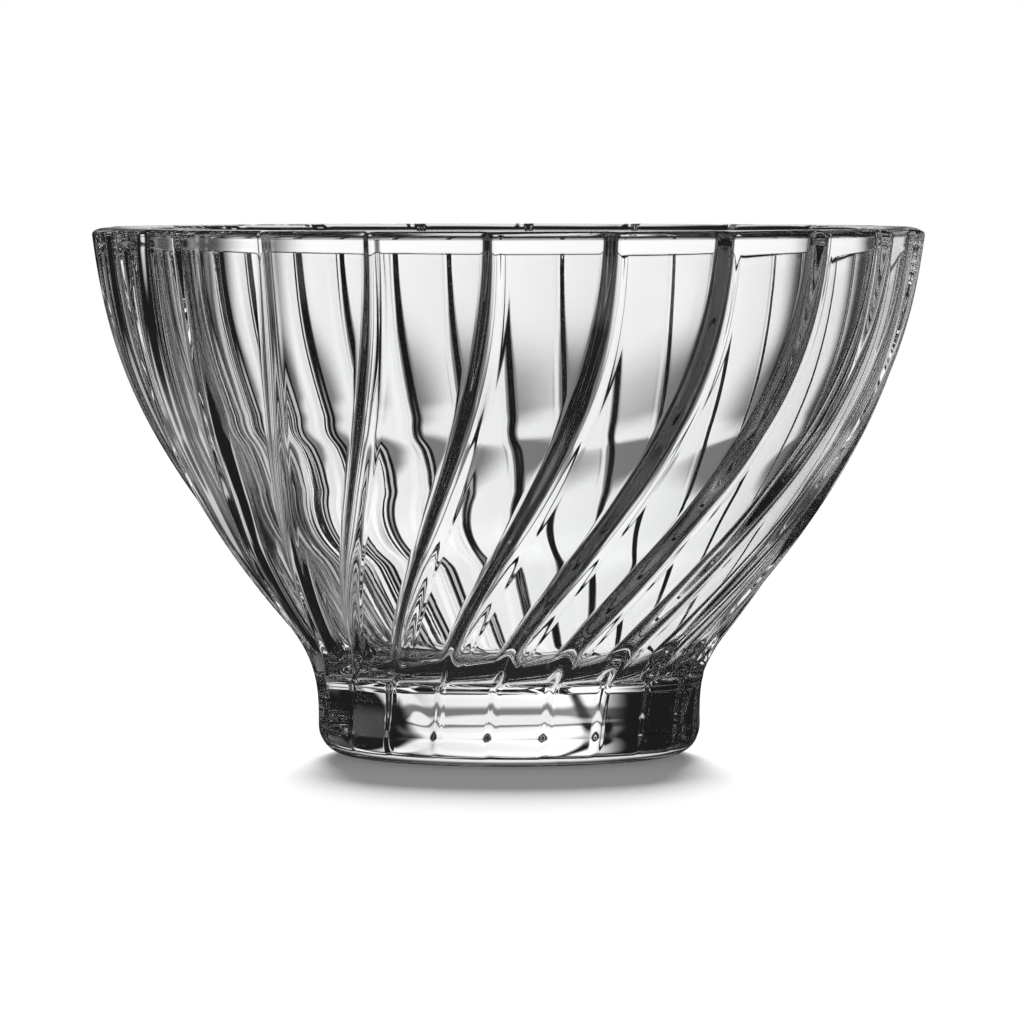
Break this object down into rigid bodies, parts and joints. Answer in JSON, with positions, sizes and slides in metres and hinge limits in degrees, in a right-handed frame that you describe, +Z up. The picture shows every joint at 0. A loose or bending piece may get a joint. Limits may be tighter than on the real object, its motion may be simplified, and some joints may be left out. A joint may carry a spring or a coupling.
{
  "type": "footed glass bowl",
  "caption": "Footed dessert bowl of clear pressed glass: a flaring wall with ribs that swirl down the outside, a smooth inside and a thick round foot.",
  "frame": {"origin": "middle of the ring that the foot rests on, on the surface it stands on", "axes": "+Z up along the bowl's axis, -Y towards the front of the picture, +X to the right"},
  "size_m": [0.1244, 0.1252, 0.079],
  "materials": {
    "bowl_glass": "clear, fire polished, smooth inside, ribbed outside",
    "foot_glass": "clear, thick, polished, with a rounded lower edge"
  },
  "bodies": {
    "root": {"bowl": "bowl_glass", "foot": "foot_glass"}
  },
  "joints": []
}
